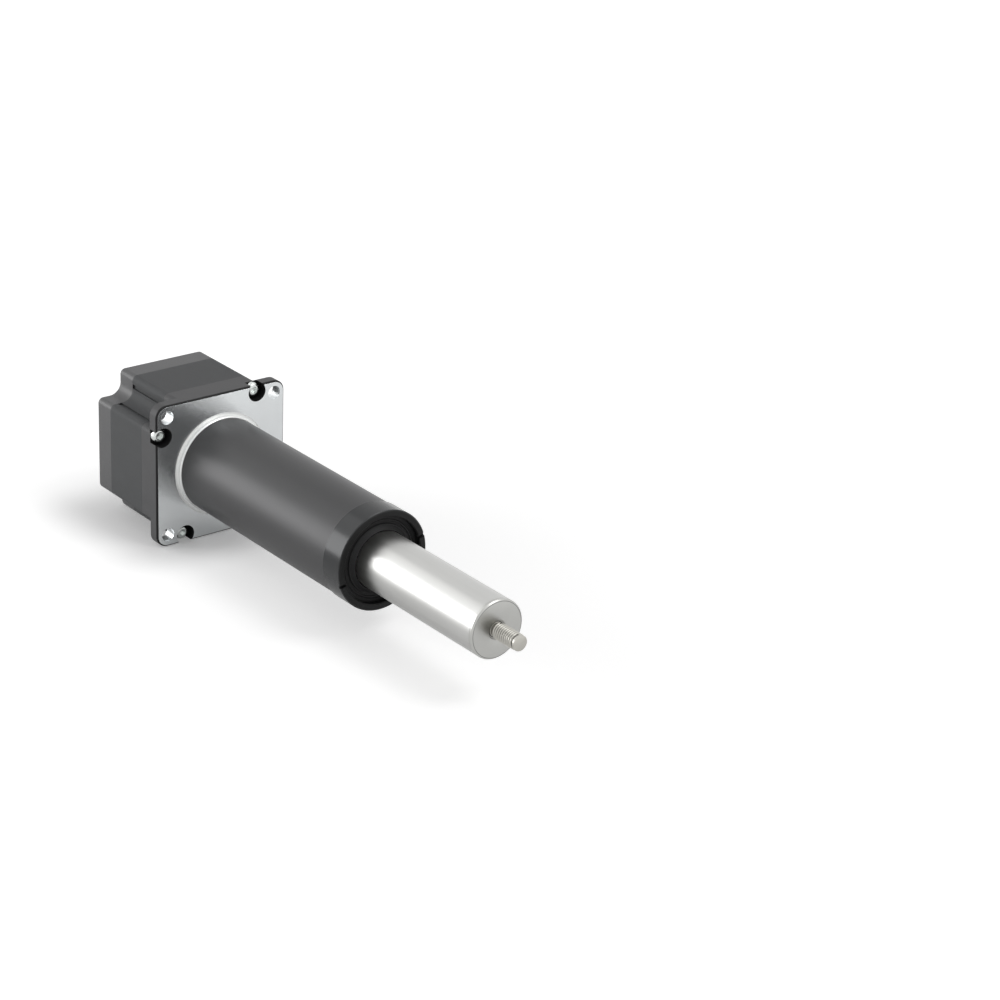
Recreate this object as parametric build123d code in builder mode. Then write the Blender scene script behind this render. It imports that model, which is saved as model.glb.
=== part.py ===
from build123d import *
from math import atan2, cos, degrees, hypot, radians, sin, sqrt
import os

# Motorised lead-screw actuator, size 23. Millimetres.
# +X runs along the rod, +Z is up, the origin is on the screw axis in the flange's front face.

# Running and seating clearances, all radial
running_gap = 0.06
sliding_gap = 0.10
seat_gap = 0.02
screw_hole_gap = 0.15
air_gap = 0.15

# Motor body and flange
body_width = 56.4
flange_thickness = 4.7
flange_corner_radius = 4.5
flange_edge = 0.6
front_bell_depth = 10.9
stack_length = 21.5
rear_bell_depth = 9.9
rear_edge_radius = 1.5
notch_depth = 9.75
notch_root_radius = 4.5
notch_edge_radius = 2.2
stack_groove_width = 1.8
stack_groove_depth = 0.7
stack_groove_inset = 4.1

# Mounting holes, on the standard 47.14 square, and pilot
mount_hole_inset = 4.63
mount_hole_radius = 2.6
pilot_radius = 19.05
pilot_height = 1.6
pilot_edge = 0.35
relief_width = 1.15
relief_depth = 0.4

# Tie screws, M3, in pockets that break out through the flange's sides
tie_edge_inset = 2.8
tie_wall = 2.55
tie_radius = 1.5
tie_grip = 6.9
tie_tip_room = 0.5
tie_head_radius = 2.7
tie_head_height = 2.2
tie_socket_radius = 1.2
tie_socket_depth = 1.3
pocket_radius = 3.8
pocket_depth = 4.3

# Bearings
front_bearing_radius = 11.0
front_bearing_width = 7.0
front_journal_radius = 4.0
rear_bearing_radius = 9.5
rear_bearing_width = 6.0
rear_journal_radius = 3.5
inner_ring_wall = 2.0
ring_gap = 0.3
washer_thickness = 0.4
washer_room = 1.2
washer_width = 2.2

# Stator and windings
pole_count = 8
pole_width = 7.0
pole_height = 7.95
pole_sink = 1.0
shoe_gap = 2.5
shoe_depth = 2.4
slot_lip = 1.16
insulator_thickness = 0.8
insulator_sides = 16
insulator_rim = 0.7
coil_side = 2.3
coil_end = 2.4
coil_corner = 1.2
coil_gap = 0.15
winding_room = 4.2
winding_wall = 2.8

# Rotor
rotor_teeth = 50
rotor_tooth_depth = 0.8
cup_length = 8.5
magnet_length = 2.5
magnet_step = 1.0
shaft_shoulder = 0.6

# Tube and its key grooves
tube_radius = 18.5
tube_bore = 14.6
tube_length = 91.4
tube_spigot_radius = 17.2
tube_spigot_length = 4.0
key_count = 4
key_width = 5.0
key_groove_radius = 16.0

# Front collar, guide bush and wiper
collar_radius = 18.9
collar_length = 9.7
collar_spigot_radius = 16.4
collar_spigot_length = 10.0
collar_edge = 0.5
collar_flat = 18.0
collar_flat_angle = 55
collar_mouth_radius = 16.3
collar_mouth_depth = 2.2
spanner_slot_width = 1.3
spanner_slot_depth = 1.0
spanner_slot_reach = 3.1
spanner_slot_angle = 18
bush_wall = 2.6
wiper_length = 2.0
wiper_wall = 4.0
wiper_lip = 1.4
wiper_lip_wall = 1.0
bumper_thickness = 2.0
rear_bumper_thickness = 4.2
bumper_wall = 2.6
bumper_gap = 0.5

# Lead screw and nut
lead = 19.05
thread_starts = 2
thread_crest_radius = 6.0
thread_root_radius = 4.6
thread_crest_width = 4.3
thread_base_width = 5.0
thread_gap = 0.2
thread_sink = 0.15
thread_start = 0.5
thread_run_out = 3.0
screw_tip = 97.5
screw_tip_length = 1.0
screw_shoulder_radius = 5.6
web_hole_gap = 0.9
nut_length = 27.0
nut_flange_thickness = 2.5

# Rod, its end plug and stud; the rod stands as far out as in the rest pose
rod_radius = 10.9
rod_wall = 1.6
rod_face = 167.0
piston_length = 15.0
piston_rear = 53.0
plug_flange_thickness = 1.5
plug_edge = 0.4
plug_length = 13.6
plug_bore_radius = 6.0
plug_floor = 6.0
stud_radius = 3.0
stud_reach = 12.4
stud_depth = 5.5
stud_neck_radius = 2.7
stud_edge = 0.5
stud_plain_length = 2.0
stud_plain_radius = 2.75
stud_sink_radius = 4.0
stud_sink_depth = 0.7

# Connector header, on the side that faces +Y
pin_count = 6
pin_pitch = 2.0
pin_width = 0.5
pin_reach = 4.6
header_width = 6.4
header_wall = 0.9
header_depth = 7.2
header_floor = 1.4
header_inset = 1.0
header_end_room = 1.0
header_place = 5.1

# Stations along the axis
half_width = body_width / 2
front_bell_back = -front_bell_depth
stack_back = front_bell_back - stack_length
motor_back = stack_back - rear_bell_depth
stack_middle = (front_bell_back + stack_back) / 2
notch_floor = half_width - notch_depth
tube_seat = pilot_height - tube_spigot_length
tube_front = pilot_height + tube_length
collar_front = tube_front + collar_length
collar_back = tube_front - collar_spigot_length
bearing_front = front_bell_back + front_bearing_width
shaft_step = stack_back - shaft_shoulder
rear_bearing_back = shaft_step - rear_bearing_width
rotor_length = 2 * cup_length + magnet_length
rotor_front = stack_middle + rotor_length / 2
rotor_back = stack_middle - rotor_length / 2
notch_reach = hypot(notch_floor + notch_root_radius, notch_floor + notch_root_radius) - notch_root_radius
winding_outer = notch_reach - winding_wall
slot_radius = winding_outer - slot_lip
stator_bore = slot_radius - pole_height
rotor_radius = stator_bore - air_gap
shoe_radius = stator_bore + shoe_depth
winding_inner = shoe_radius - coil_side / 2
coil_start = shoe_radius + coil_gap
inner_ring_front = front_journal_radius + inner_ring_wall
inner_ring_rear = rear_journal_radius + inner_ring_wall
rod_bore = rod_radius - rod_wall
rod_hole = rod_radius + running_gap
nut_front = piston_rear + nut_length
key_reach = key_groove_radius - 2 * sliding_gap
stud_tip = rod_face + stud_reach
bush_radius = rod_radius + bush_wall
wiper_radius = rod_radius + wiper_wall
wiper_front = collar_front - collar_mouth_depth
wiper_back = wiper_front - wiper_length
bumper_hole = rod_radius + bumper_gap
bumper_radius = bumper_hole + bumper_wall
groove_place = 2 * (half_width - stack_groove_inset)
groove_floor = 2 * notch_floor
mount_hole_pitch = body_width - 2 * mount_hole_inset
tie_place = half_width - tie_edge_inset
tie_offset = notch_floor - tie_wall
tie_length = tie_grip - stack_back - pocket_depth
tie_circle = hypot(tie_place, tie_offset)
tie_angle = degrees(atan2(tie_place, tie_offset))
header_length = pin_count * pin_pitch + 2 * header_wall + header_end_room
coil_room_length = stack_length + 2 * (insulator_thickness + coil_gap)
coil_room_width = pole_width + 2 * coil_gap
coil_width = coil_room_width + 2 * coil_side
coil_top = sqrt((slot_radius - coil_gap) ** 2 - (coil_width / 2) ** 2)
coil_depth = coil_top - coil_start
header_middle = motor_back + header_place
header_base = half_width - header_inset


def notched_square():
    """Square outline with a rounded channel along each corner."""
    with BuildSketch() as outline:
        Rectangle(body_width, body_width)
        with GridLocations(body_width, body_width, 2, 2):
            Rectangle(2 * notch_depth, 2 * notch_depth, mode=Mode.SUBTRACT)
        corners = outline.vertices().sort_by_distance((0, 0, 0))
        fillet(corners[4:], notch_edge_radius)
        fillet(outline.vertices().sort_by_distance((0, 0, 0))[:4], notch_root_radius)
    return outline.sketch


def pole_star(inner, outer):
    """Necks of the stator poles, from one radius to the other."""
    with BuildSketch() as star:
        with PolarLocations((inner + outer) / 2, pole_count):
            Rectangle(outer - inner, pole_width)
    return star.sketch


def coil_outline():
    """One winding seen along its pole, a loop with bevelled corners."""
    with BuildSketch() as loop:
        Rectangle(coil_room_length + 2 * coil_end, coil_width)
        chamfer(loop.vertices(), coil_corner)
        Rectangle(coil_room_length, coil_room_width, mode=Mode.SUBTRACT)
    return loop.sketch


def ring(x_from, x_to, inner, outer):
    """Plain ring about the screw axis."""
    with BuildPart() as part:
        with BuildSketch(Plane.YZ.offset(x_from)):
            Circle(outer)
            Circle(inner, mode=Mode.SUBTRACT)
        extrude(amount=x_to - x_from)
    return part.part


def rotor_cup(x_from, step):
    """Toothed cup of the rotor, its teeth turned by a step."""
    tooth_width = rotor_radius * radians(360 / rotor_teeth) / 2
    with BuildPart() as cup:
        with BuildSketch(Plane.YZ.offset(x_from)):
            Circle(rotor_radius - rotor_tooth_depth)
            with PolarLocations(rotor_radius - rotor_tooth_depth, rotor_teeth, step):
                Rectangle(2 * rotor_tooth_depth, tooth_width)
            Circle(front_journal_radius + seat_gap, mode=Mode.SUBTRACT)
        extrude(amount=cup_length)
    return cup.part


def thread_ridges(x_from, x_to, growth):
    """Helical ridges of all the starts, in step with the lead wherever they begin."""
    slope = (thread_base_width - thread_crest_width) / 2 / (thread_crest_radius - thread_root_radius)
    base = thread_root_radius - thread_sink
    crest = thread_crest_radius + growth
    base_half = thread_base_width / 2 + slope * thread_sink + growth
    crest_half = thread_crest_width / 2 + (1 - slope) * growth
    with BuildPart() as ridge:
        with BuildSketch(Plane.XZ):
            with BuildLine():
                Polyline(
                    (base, -base_half),
                    (crest, -crest_half),
                    (crest, crest_half),
                    (base, base_half),
                    close=True,
                )
            make_face()
        sweep(path=Helix(lead, x_to - x_from, base), is_frenet=True)
    with BuildPart() as ridges:
        with Locations(Location((x_from, 0, 0), (0, 90, 0))):
            with PolarLocations(0, thread_starts, start_angle=360 * x_from / lead):
                add(ridge.part)
    return ridges.part


# Front end bell: flange, pilot, bearing seat and the room for the windings
with BuildPart() as front_end_bell:
    with BuildSketch(Plane.YZ.offset(-flange_thickness)):
        RectangleRounded(body_width, body_width, flange_corner_radius)
    extrude(amount=flange_thickness)
    chamfer(front_end_bell.faces().sort_by(Axis.X)[-1].edges(), flange_edge)
    with BuildSketch(Plane.YZ.offset(front_bell_back)):
        add(notched_square())
    extrude(amount=front_bell_depth - flange_thickness)
    with BuildSketch(Plane.YZ):
        Circle(pilot_radius)
    extrude(amount=pilot_height)
    chamfer(front_end_bell.faces().sort_by(Axis.X)[-1].edges(), pilot_edge)
    with BuildSketch(Plane.YZ):
        Circle(pilot_radius + relief_width)
        Circle(pilot_radius, mode=Mode.SUBTRACT)
    extrude(amount=-relief_depth, mode=Mode.SUBTRACT)
    with BuildSketch(Plane.YZ.offset(tube_seat)):
        Circle(tube_spigot_radius + seat_gap)
    extrude(amount=tube_spigot_length, mode=Mode.SUBTRACT)
    with BuildSketch(Plane.YZ.offset(front_bell_back)):
        Circle(front_bearing_radius + seat_gap)
    extrude(amount=front_bearing_width, mode=Mode.SUBTRACT)
    with BuildSketch(Plane.YZ.offset(front_bell_back)):
        Circle(winding_outer)
        Circle(winding_inner, mode=Mode.SUBTRACT)
    extrude(amount=winding_room, mode=Mode.SUBTRACT)
    with Locations(Plane.YZ):
        Hole(thread_crest_radius + web_hole_gap)
        with GridLocations(mount_hole_pitch, mount_hole_pitch, 2, 2):
            Hole(mount_hole_radius)
        with PolarLocations(tie_circle, 4, tie_angle):
            CounterBoreHole(tie_radius + screw_hole_gap, pocket_radius, pocket_depth)

# Stator stack of laminations, with a groove down each wall of the corner channels
with BuildPart() as stator_stack:
    with BuildSketch(Plane.YZ.offset(stack_back)):
        add(notched_square())
        with GridLocations(groove_place, groove_floor, 2, 2):
            Rectangle(stack_groove_width, 2 * stack_groove_depth, mode=Mode.SUBTRACT)
        with GridLocations(groove_floor, groove_place, 2, 2):
            Rectangle(2 * stack_groove_depth, stack_groove_width, mode=Mode.SUBTRACT)
        Circle(slot_radius, mode=Mode.SUBTRACT)
        add(pole_star(shoe_radius - shoe_depth / 2, slot_radius + pole_sink))
        Circle(shoe_radius)
        with PolarLocations(shoe_radius, pole_count, 180 / pole_count):
            Rectangle(3 * shoe_depth, shoe_gap, mode=Mode.SUBTRACT)
        Circle(stator_bore, mode=Mode.SUBTRACT)
        with PolarLocations(tie_circle, 4, tie_angle):
            Circle(tie_radius + screw_hole_gap, mode=Mode.SUBTRACT)
    extrude(amount=stack_length)

# Insulators on both ends of the stack
with BuildPart() as pole_insulators:
    with BuildSketch(
        Plane.YZ.offset(front_bell_back), Plane.YZ.offset(stack_back - insulator_thickness)
    ):
        RegularPolygon(winding_outer - coil_gap, insulator_sides)
        RegularPolygon(winding_outer - coil_gap - insulator_rim, insulator_sides, mode=Mode.SUBTRACT)
        add(pole_star(coil_start, slot_radius))
    extrude(amount=insulator_thickness)

# Windings, one round each pole
coil_planes = []
for pole in range(pole_count):
    angle = radians(360 * pole / pole_count)
    foot = (stack_middle, coil_start * cos(angle), coil_start * sin(angle))
    coil_planes.append(Plane(origin=foot, x_dir=(1, 0, 0), z_dir=(0, cos(angle), sin(angle))))
with BuildPart() as phase_coils:
    with BuildSketch(*coil_planes):
        add(coil_outline())
    extrude(amount=coil_depth)

# Rear end bell: bearing seat, room for the windings and the spring washer, recess of the header
with BuildPart() as rear_end_bell:
    with BuildSketch(Plane.YZ.offset(motor_back)):
        add(notched_square())
    extrude(amount=rear_bell_depth)
    fillet(rear_end_bell.faces().sort_by(Axis.X)[0].edges(), rear_edge_radius)
    with BuildSketch(Plane.YZ.offset(stack_back)):
        Circle(winding_outer)
        Circle(winding_inner, mode=Mode.SUBTRACT)
    extrude(amount=-winding_room, mode=Mode.SUBTRACT)
    with BuildSketch(Plane.YZ.offset(rear_bearing_back - washer_room)):
        Circle(rear_bearing_radius + seat_gap)
    extrude(amount=rear_bell_depth, mode=Mode.SUBTRACT)
    with BuildSketch(Plane.YZ.offset(-pocket_depth - tie_length - tie_tip_room)):
        with PolarLocations(tie_circle, 4, tie_angle):
            Circle(tie_radius + seat_gap)
    extrude(amount=tie_length, mode=Mode.SUBTRACT)
    with BuildSketch(Plane.XZ.offset(-header_base)):
        with Locations((header_middle, 0)):
            Rectangle(header_width + 2 * seat_gap, header_length + 2 * seat_gap)
    extrude(amount=-2 * header_inset, mode=Mode.SUBTRACT)

# Tie screws, with hexagon sockets
with BuildPart() as tie_screws:
    with BuildSketch(Plane.YZ.offset(-pocket_depth)):
        with PolarLocations(tie_circle, 4, tie_angle):
            Circle(tie_radius)
    extrude(amount=-tie_length)
    with BuildSketch(Plane.YZ.offset(-pocket_depth)):
        with PolarLocations(tie_circle, 4, tie_angle):
            Circle(tie_head_radius)
    extrude(amount=tie_head_height)
    with BuildSketch(Plane.YZ.offset(tie_head_height - pocket_depth)):
        with PolarLocations(tie_circle, 4, tie_angle):
            RegularPolygon(tie_socket_radius, 6)
    extrude(amount=-tie_socket_depth, mode=Mode.SUBTRACT)

# Connector header and its pins, on the side that faces +Y
with BuildPart() as connector_header:
    with BuildSketch(Plane.XZ.offset(-header_base)):
        with Locations((header_middle, 0)):
            Rectangle(header_width, header_length)
    extrude(amount=-header_depth)
    with BuildSketch(Plane.XZ.offset(-header_base - header_floor)):
        with Locations((header_middle, 0)):
            Rectangle(header_width - 2 * header_wall, header_length - 2 * header_wall)
    extrude(amount=-header_depth, mode=Mode.SUBTRACT)
with BuildPart() as connector_pins:
    with BuildSketch(Plane.XZ.offset(-header_base - header_floor)):
        with Locations((header_middle, 0)):
            with GridLocations(pin_pitch, pin_pitch, 1, pin_count):
                Rectangle(pin_width, pin_width)
    extrude(amount=-pin_reach)

# Bearings: the outer rings with their shields stand still, the inner rings turn
front_bearing_outer = ring(
    front_bell_back, bearing_front, inner_ring_front + ring_gap, front_bearing_radius
)
front_bearing_inner = ring(
    front_bell_back, bearing_front, front_journal_radius + seat_gap, inner_ring_front
)
rear_bearing_outer = ring(
    rear_bearing_back, shaft_step, inner_ring_rear + ring_gap, rear_bearing_radius
)
rear_bearing_inner = ring(
    rear_bearing_back, shaft_step, rear_journal_radius + seat_gap, inner_ring_rear
)
with BuildPart() as spring_washer:
    with BuildSketch(Plane.XZ):
        with BuildLine():
            Polyline(
                (rear_bearing_back, rear_bearing_radius),
                (rear_bearing_back - washer_thickness, rear_bearing_radius),
                (rear_bearing_back - washer_room, rear_bearing_radius - washer_width),
                (rear_bearing_back - washer_room + washer_thickness, rear_bearing_radius - washer_width),
                close=True,
            )
        make_face()
    revolve(axis=Axis.X)

# Rotor: two toothed cups, half a tooth out of step, with a magnet between them
rotor_cup_front = rotor_cup(rotor_front - cup_length, 0)
rotor_cup_rear = rotor_cup(rotor_back, 180 / rotor_teeth)
rotor_magnet = ring(
    rotor_back + cup_length,
    rotor_front - cup_length,
    front_journal_radius + seat_gap,
    rotor_radius - rotor_tooth_depth - magnet_step,
)
rotor_spacer = ring(
    rotor_front, front_bell_back, front_journal_radius + seat_gap, inner_ring_front
)

# Lead screw: journals of both bearings, shoulder and helical thread
with BuildPart() as lead_screw:
    with BuildSketch(Plane.XZ):
        with BuildLine():
            Polyline(
                (rear_bearing_back, 0),
                (rear_bearing_back, rear_journal_radius),
                (shaft_step, rear_journal_radius),
                (shaft_step, front_journal_radius),
                (bearing_front, front_journal_radius),
                (bearing_front, screw_shoulder_radius),
                (tube_seat, screw_shoulder_radius),
                (tube_seat, thread_root_radius),
                (screw_tip - screw_tip_length, thread_root_radius),
                (screw_tip, thread_root_radius - screw_tip_length),
                (screw_tip, 0),
                close=True,
            )
        make_face()
    revolve(axis=Axis.X)
    add(thread_ridges(thread_start, screw_tip - 2 * screw_tip_length - thread_base_width / 2, 0))

# Nut inside the rod, with the same thread cut in it
with BuildPart() as lead_nut:
    with BuildSketch(Plane.YZ.offset(piston_rear)):
        Circle(rod_radius)
    extrude(amount=nut_flange_thickness)
    with BuildSketch(Plane.YZ.offset(piston_rear)):
        Circle(rod_bore - seat_gap)
    extrude(amount=nut_length)
    with BuildSketch(Plane.YZ.offset(piston_rear)):
        Circle(thread_root_radius + thread_gap)
    extrude(amount=nut_length, mode=Mode.SUBTRACT)
    add(
        thread_ridges(piston_rear - thread_run_out, nut_front + thread_run_out, thread_gap),
        mode=Mode.SUBTRACT,
    )

# Guide piston, keyed in the tube
with BuildPart() as guide_piston:
    with BuildSketch(Plane.YZ.offset(piston_rear)):
        Circle(tube_bore - sliding_gap)
        with PolarLocations(key_reach / 2, key_count, 180 / key_count):
            Rectangle(key_reach, key_width - 2 * sliding_gap)
        Circle(rod_radius + seat_gap, mode=Mode.SUBTRACT)
    extrude(amount=piston_length)

# Hollow rod, its end plug and the stud
extension_rod = ring(
    piston_rear + nut_flange_thickness, rod_face - plug_flange_thickness, rod_bore, rod_radius
)
with BuildPart() as rod_end_plug:
    with BuildSketch(Plane.YZ.offset(rod_face - plug_flange_thickness)):
        Circle(rod_radius)
    extrude(amount=plug_flange_thickness)
    chamfer(rod_end_plug.edges().filter_by(GeomType.CIRCLE), plug_edge)
    with BuildSketch(Plane.YZ.offset(rod_face - plug_flange_thickness)):
        Circle(rod_bore - seat_gap)
    extrude(amount=-(plug_length - plug_flange_thickness))
    with BuildSketch(Plane.YZ.offset(rod_face - plug_length)):
        Circle(plug_bore_radius)
    extrude(amount=plug_floor, mode=Mode.SUBTRACT)
    with Locations(Plane.YZ.offset(rod_face)):
        Hole(stud_neck_radius + seat_gap, stud_depth)
    with BuildSketch(Plane.YZ.offset(rod_face)):
        Circle(stud_sink_radius)
    extrude(amount=-stud_sink_depth, mode=Mode.SUBTRACT)
with BuildPart() as rod_stud:
    with BuildSketch(Plane.XZ):
        with BuildLine():
            Polyline(
                (rod_face - stud_depth, 0),
                (rod_face - stud_depth, stud_neck_radius),
                (rod_face, stud_neck_radius),
                (rod_face, stud_radius),
                (stud_tip - stud_plain_length, stud_radius),
                (stud_tip - stud_plain_length, stud_plain_radius),
                (stud_tip - stud_edge, stud_plain_radius),
                (stud_tip, stud_plain_radius - stud_edge),
                (stud_tip, 0),
                close=True,
            )
        make_face()
    revolve(axis=Axis.X)

# Cover tube, with the grooves that keep the piston from turning
with BuildPart() as cover_tube:
    with BuildSketch(Plane.YZ.offset(tube_seat)):
        Circle(tube_spigot_radius)
    extrude(amount=tube_spigot_length)
    with BuildSketch(Plane.YZ.offset(pilot_height)):
        Circle(tube_radius)
    extrude(amount=tube_length)
    with BuildSketch(Plane.YZ.offset(tube_seat)):
        Circle(tube_bore)
        with PolarLocations(key_groove_radius / 2, key_count, 180 / key_count):
            Rectangle(key_groove_radius, key_width)
    extrude(amount=tube_length + tube_spigot_length, mode=Mode.SUBTRACT)
    with BuildSketch(Plane.YZ.offset(collar_back)):
        Circle(collar_spigot_radius + seat_gap)
    extrude(amount=collar_spigot_length, mode=Mode.SUBTRACT)

# Front collar, seated in the tube, with spanner flats and slots
with BuildPart() as front_collar:
    with BuildSketch(Plane.YZ.offset(tube_front)):
        Circle(collar_radius)
    extrude(amount=collar_length)
    chamfer(front_collar.faces().sort_by(Axis.X)[-1].edges(), collar_edge)
    with BuildSketch(Plane.YZ.offset(tube_front)):
        with PolarLocations(collar_flat + collar_radius / 2, 4, collar_flat_angle):
            Rectangle(collar_radius, 2 * collar_radius)
    extrude(amount=collar_length, mode=Mode.SUBTRACT)
    with BuildSketch(Plane.YZ.offset(collar_back)):
        Circle(collar_spigot_radius)
    extrude(amount=collar_spigot_length)
    with BuildSketch(Plane.YZ.offset(collar_back)):
        Circle(bush_radius + seat_gap)
    extrude(amount=wiper_back - collar_back, mode=Mode.SUBTRACT)
    with BuildSketch(Plane.YZ.offset(wiper_back)):
        Circle(wiper_radius + seat_gap)
    extrude(amount=wiper_length, mode=Mode.SUBTRACT)
    with BuildSketch(Plane.YZ.offset(wiper_front)):
        Circle(collar_mouth_radius)
    extrude(amount=collar_mouth_depth, mode=Mode.SUBTRACT)
    with BuildSketch(Plane.YZ.offset(collar_front)):
        with PolarLocations(collar_radius, 2, spanner_slot_angle):
            Rectangle(2 * spanner_slot_reach, spanner_slot_width)
    extrude(amount=-spanner_slot_depth, mode=Mode.SUBTRACT)
guide_bush = ring(collar_back, wiper_back, rod_hole, bush_radius)
with BuildPart() as wiper_ring:
    with BuildSketch(Plane.XZ):
        with BuildLine():
            Polyline(
                (wiper_back, rod_hole),
                (wiper_back, wiper_radius),
                (wiper_front, wiper_radius),
                (wiper_front, rod_hole + 2 * wiper_lip_wall),
                (wiper_front + wiper_lip, rod_hole + wiper_lip_wall / 2),
                (wiper_front + wiper_lip, rod_hole),
                close=True,
            )
        make_face()
    revolve(axis=Axis.X)
front_bumper = ring(collar_back - bumper_thickness, collar_back, bumper_hole, bumper_radius)
rear_bumper = ring(tube_seat, tube_seat + rear_bumper_thickness, bumper_hole, bumper_radius)

nodes = {
    "front_end_bell": front_end_bell.part,
    "stator_stack": stator_stack.part,
    "pole_insulators": pole_insulators.part,
    "phase_coils": phase_coils.part,
    "rear_end_bell": rear_end_bell.part,
    "tie_screws": tie_screws.part,
    "connector_header": connector_header.part,
    "connector_pins": connector_pins.part,
    "front_bearing_outer": front_bearing_outer,
    "front_bearing_inner": front_bearing_inner,
    "rear_bearing_outer": rear_bearing_outer,
    "rear_bearing_inner": rear_bearing_inner,
    "spring_washer": spring_washer.part,
    "rotor_cup_front": rotor_cup_front,
    "rotor_cup_rear": rotor_cup_rear,
    "rotor_magnet": rotor_magnet,
    "rotor_spacer": rotor_spacer,
    "lead_screw": lead_screw.part,
    "lead_nut": lead_nut.part,
    "guide_piston": guide_piston.part,
    "extension_rod": extension_rod,
    "rod_end_plug": rod_end_plug.part,
    "rod_stud": rod_stud.part,
    "cover_tube": cover_tube.part,
    "front_collar": front_collar.part,
    "guide_bush": guide_bush,
    "wiper_ring": wiper_ring.part,
    "front_bumper": front_bumper,
    "rear_bumper": rear_bumper,
}
os.makedirs("parts", exist_ok=True)
for name, shape in nodes.items():
    shape.label = name
    export_step(shape, f"parts/{name}.step")
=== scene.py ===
"""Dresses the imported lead-screw actuator: finishes, small turned pieces, studio and camera."""

import math

import bmesh
import bpy
from mathutils import Matrix, Vector


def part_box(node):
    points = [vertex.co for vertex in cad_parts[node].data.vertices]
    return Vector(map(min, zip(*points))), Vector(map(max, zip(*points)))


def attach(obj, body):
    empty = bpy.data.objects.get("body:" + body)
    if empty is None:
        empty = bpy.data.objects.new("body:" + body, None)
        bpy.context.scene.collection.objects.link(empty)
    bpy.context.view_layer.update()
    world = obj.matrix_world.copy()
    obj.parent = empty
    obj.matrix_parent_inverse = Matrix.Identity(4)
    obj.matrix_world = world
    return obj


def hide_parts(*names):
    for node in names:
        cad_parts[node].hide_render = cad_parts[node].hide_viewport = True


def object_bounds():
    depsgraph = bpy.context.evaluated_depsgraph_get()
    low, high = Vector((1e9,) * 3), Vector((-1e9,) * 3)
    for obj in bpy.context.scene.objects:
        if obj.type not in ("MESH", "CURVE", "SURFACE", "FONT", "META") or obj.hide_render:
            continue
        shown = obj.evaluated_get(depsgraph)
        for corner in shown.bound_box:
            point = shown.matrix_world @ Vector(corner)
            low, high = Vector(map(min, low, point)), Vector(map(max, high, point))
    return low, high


bl_info = {
    "name": "Lead-screw actuator",
    "version": (1, 0, 0),
    "blender": (4, 5, 0),
    "location": "3D View > Sidebar > Actuator",
    "description": "Finishes and small pieces of a motorised lead-screw actuator",
    "category": "Object",
}

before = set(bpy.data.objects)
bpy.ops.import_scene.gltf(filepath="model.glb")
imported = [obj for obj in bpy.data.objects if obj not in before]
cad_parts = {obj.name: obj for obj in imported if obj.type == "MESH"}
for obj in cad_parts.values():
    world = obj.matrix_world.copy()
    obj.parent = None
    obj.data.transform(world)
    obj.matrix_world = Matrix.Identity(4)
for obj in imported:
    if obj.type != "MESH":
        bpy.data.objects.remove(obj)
cad_box = [list(corner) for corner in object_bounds()]
MM = 0.001

# Places that the finishes and the small pieces share, in millimetres
MOUNT_HOLE = 23.57
SCREW_ASIDE, SCREW_OUT = 15.9, 25.4
SCREW_SEAT = -4.3
FRONT_SEAM, REAR_SEAM = -10.9, -32.4


def srgb(red, green, blue):
    """Linear colour of a screen colour given from 0 to 255."""
    parts = [c / 255 for c in (red, green, blue)]
    return tuple(c / 12.92 if c <= 0.04045 else ((c + 0.055) / 1.055) ** 2.4 for c in parts)


# Materials


class Level:
    """One number that changes over a surface. Arithmetic on it adds Math nodes."""

    def __init__(self, paint, socket):
        self.paint = paint
        self.socket = socket

    def math(self, operation, *values):
        return self.paint.node("ShaderNodeMath", {"operation": operation}, dict(enumerate(values)))

    def __add__(self, other):
        return self.math("ADD", self, other)

    def __radd__(self, other):
        return self.math("ADD", other, self)

    def __sub__(self, other):
        return self.math("SUBTRACT", self, other)

    def __rsub__(self, other):
        return self.math("SUBTRACT", other, self)

    def __mul__(self, other):
        return self.math("MULTIPLY", self, other)

    def __rmul__(self, other):
        return self.math("MULTIPLY", other, self)

    def __truediv__(self, other):
        return self.math("DIVIDE", self, other)

    def __pow__(self, other):
        return self.math("POWER", self, other)

    def __gt__(self, other):
        return self.math("GREATER_THAN", self, other)

    def __lt__(self, other):
        return self.math("LESS_THAN", self, other)

    def __abs__(self):
        return self.math("ABSOLUTE", self)

    def highest(self, other):
        return self.math("MAXIMUM", self, other)

    def wave(self):
        return self.math("SINE", self)

    def rise(self, start, end, low=0.0, high=1.0):
        """Goes smoothly from low to high while the level goes from start to end."""
        ends = {"Value": self, "From Min": start, "From Max": end, "To Min": low, "To Max": high}
        return self.paint.node("ShaderNodeMapRange", {"interpolation_type": "SMOOTHSTEP"}, ends, "Result")


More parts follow.
